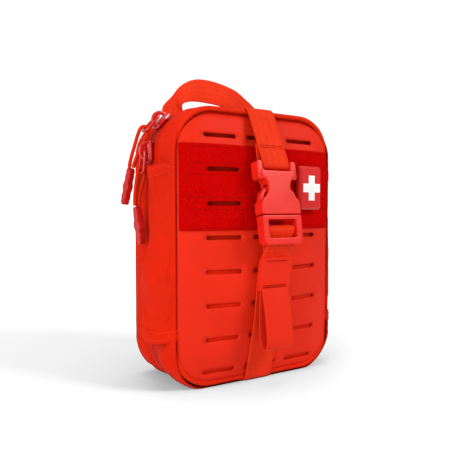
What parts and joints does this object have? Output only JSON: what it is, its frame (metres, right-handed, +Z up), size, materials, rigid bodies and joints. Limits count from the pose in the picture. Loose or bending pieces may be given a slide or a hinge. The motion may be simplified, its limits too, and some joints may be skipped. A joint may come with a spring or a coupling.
{
  "type": "first aid kit",
  "caption": "Upright zipped fabric first aid pouch with a slotted front panel, buckled strap, side sleeves, carry handle, cross badge and rip-away back.",
  "frame": {"origin": "on the surface that the kit stands on, on the middle plane, 2 mm behind the hinge line between the two halves", "axes": "+Z up, front face and buckle towards -Y, +X to the right seen from the front"},
  "size_m": [0.178, 0.1087, 0.2458],
  "materials": {
    "nylon": "woven nylon, matte",
    "piping": "nylon binding over cord, matte",
    "webbing": "woven webbing, slight sheen",
    "laminate": "coated laminate, fine matte grain",
    "loop_pile": "brushed loop pile",
    "zip_coil": "moulded coil",
    "buckle_plastic": "moulded acetal, satin",
    "zip_metal": "glossy painted die-cast",
    "cord": "braided cord",
    "grip_rubber": "soft moulded plastic",
    "badge_red": "moulded soft PVC",
    "badge_white": "moulded soft PVC",
    "elastic": "ribbed elastic",
    "mesh": "open knitted mesh",
    "gauze": "woven cotton gauze",
    "tape": "cotton adhesive tape",
    "steel": "brushed stainless",
    "black_plastic": "moulded, satin",
    "packet_green": "sealed pouch",
    "carton": "coated card",
    "packet_blue": "sealed packet",
    "foil": "metallised film",
    "snap": "black oxide"
  },
  "bodies": {
    "rear_half": {"rear_shell": "nylon", "rear_piping": "piping", "rear_zip_tape": "webbing", "rear_zip_coil": "zip_coil", "handle_anchors": "webbing", "back_loop_field": "loop_pile", "organiser": "nylon", "elastic_bands": "elastic", "gauze_roll": "gauze", "tape_roll": "tape", "trauma_shears": "steel", "shears_grip": "black_plastic", "pressure_bandage": "packet_green", "plaster_pack": "carton", "glove_packet": "packet_blue"},
    "front_half": {"front_shell": "nylon", "front_piping": "piping", "front_zip_tape": "webbing", "front_zip_coil": "zip_coil", "molle_panel": "laminate", "loop_field": "loop_pile", "left_sleeve": "nylon", "right_sleeve": "nylon", "strap_upper": "webbing", "buckle_female": "buckle_plastic", "strap_lower": "webbing", "cover_pocket": "mesh", "blanket_pack": "foil"},
    "male_half": {"buckle_male": "buckle_plastic"},
    "left_prong": {"prong_left": "buckle_plastic"},
    "right_prong": {"prong_right": "buckle_plastic"},
    "tail": {"strap_tail": "webbing", "pull_tab": "laminate"},
    "badge": {"badge_base": "badge_red", "badge_cross": "badge_white"},
    "handle": {"carry_handle": "webbing"},
    "zip_slider_1": {"slider_1": "zip_metal"},
    "zip_pull_1": {"pull_link_1": "zip_metal", "pull_cord_1": "cord", "pull_grip_1": "grip_rubber"},
    "zip_slider_2": {"slider_2": "zip_metal"},
    "zip_pull_2": {"pull_link_2": "zip_metal", "pull_cord_2": "cord", "pull_grip_2": "grip_rubber"},
    "back_panel": {"rip_panel": "nylon", "rip_binding": "webbing", "rip_webbing": "webbing", "rip_straps": "webbing", "rip_snaps": "snap"}
  },
  "joints": [
    {"name": "cover_open", "type": "hinge", "parent": "rear_half", "child": "front_half", "pos_m": [0, -0.002, 0], "axis": [1, 0, 0], "range_deg": [0, 100]},
    {"name": "buckle_release", "type": "slide", "parent": "front_half", "child": "male_half", "axis": [0, -0.1736, -0.9848], "range_m": [0, 0.028], "deforming": ["strap_lower"]},
    {"name": "prong_left_squeeze", "type": "hinge", "parent": "male_half", "child": "left_prong", "pos_m": [-0.0114, -0.06356, 0.13114], "axis": [0, 0.9848, -0.1736], "range_deg": [0, 7], "stiffness_Nm_per_rad": 0.05},
    {"name": "prong_right_squeeze", "type": "hinge", "parent": "male_half", "child": "right_prong", "pos_m": [0.0114, -0.06356, 0.13114], "axis": [0, 0.9848, -0.1736], "range_deg": [-7, 0], "stiffness_Nm_per_rad": 0.05},
    {"name": "tail_swing", "type": "hinge", "parent": "male_half", "child": "tail", "pos_m": [0, -0.0668, 0.107], "axis": [1, 0, 0], "range_deg": [-80, 0]},
    {"name": "badge_pull", "type": "slide", "parent": "front_half", "child": "badge", "axis": [0.2176, -0.976, 0], "range_m": [0, 0.02]},
    {"name": "handle_swing", "type": "hinge", "parent": "rear_half", "child": "handle", "pos_m": [0, 0.0271, 0.214], "axis": [1, 0, 0], "range_deg": [-55, 55]},
    {"name": "slider_1_travel", "type": "hinge", "parent": "rear_half", "child": "zip_slider_1", "pos_m": [-0.041, 0, 0.178], "axis": [0, 1, 0], "range_deg": [-2, 40]},
    {"name": "slider_2_travel", "type": "slide", "parent": "rear_half", "child": "zip_slider_2", "axis": [0, 0, -1], "range_m": [0, 0.07]},
    {"name": "pull_1_swing", "type": "hinge", "parent": "zip_slider_1", "child": "zip_pull_1", "pos_m": [-0.07121, -0.002, 0.20718], "axis": [0, 1, 0], "range_deg": [0, 50]},
    {"name": "pull_2_swing", "type": "hinge", "parent": "zip_slider_2", "child": "zip_pull_2", "pos_m": [-0.083, -0.002, 0.18], "axis": [0, 1, 0], "range_deg": [0, 110]},
    {"name": "panel_rip", "type": "slide", "parent": "rear_half", "child": "back_panel", "axis": [0, 1, 0], "range_m": [0, 0.04]}
  ],
  "couplings": [
    {"joint": "prong_right_squeeze", "follows": "prong_left_squeeze", "ratio": -1}
  ]
}
